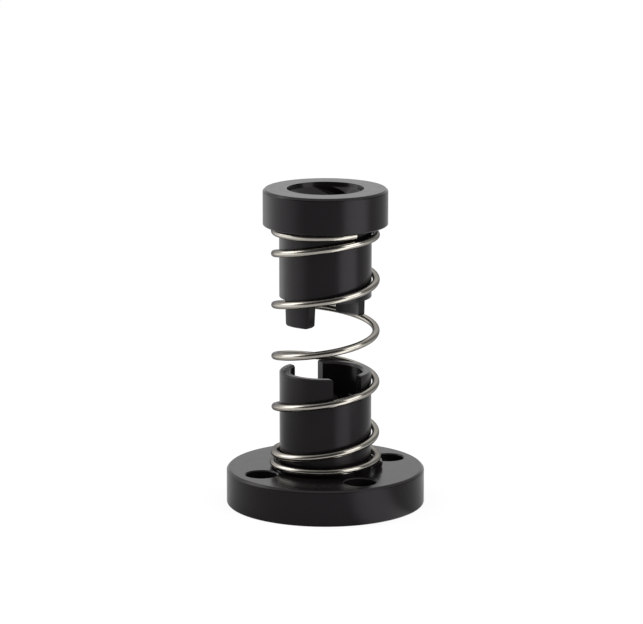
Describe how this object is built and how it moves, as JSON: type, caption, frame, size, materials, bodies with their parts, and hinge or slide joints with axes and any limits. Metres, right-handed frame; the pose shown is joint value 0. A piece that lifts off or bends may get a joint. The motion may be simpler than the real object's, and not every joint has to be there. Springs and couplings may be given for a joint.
{
  "type": "anti-backlash lead screw nut",
  "caption": "Flanged plastic nut, sliding nut with dog clutch and compression spring that takes up backlash on a trapezoidal lead screw.",
  "frame": {"origin": "centre of the flange's mounting face", "axes": "+Z along the lead screw, from the flange towards the head of the sliding nut"},
  "size_m": [0.022, 0.022, 0.0354],
  "materials": {
    "black_acetal": "satin, turned and milled",
    "spring_steel": "drawn wire, bright"
  },
  "bodies": {
    "flange_nut": {"flange_nut": "black_acetal"},
    "spring": {"preload_spring": "spring_steel"},
    "sliding_nut": {"sliding_nut": "black_acetal"}
  },
  "joints": [
    {"name": "spring_turn", "type": "hinge", "parent": "flange_nut", "child": "spring", "pos_m": [0, 0, 0.004], "axis": [0, 0, 1], "continuous": true},
    {"name": "sliding_nut_travel", "type": "slide", "parent": "spring", "child": "sliding_nut", "axis": [0, 0, 1], "range_m": [-0.00545, 0], "stiffness_N_per_m": 590, "deforming": ["preload_spring"]}
  ]
}
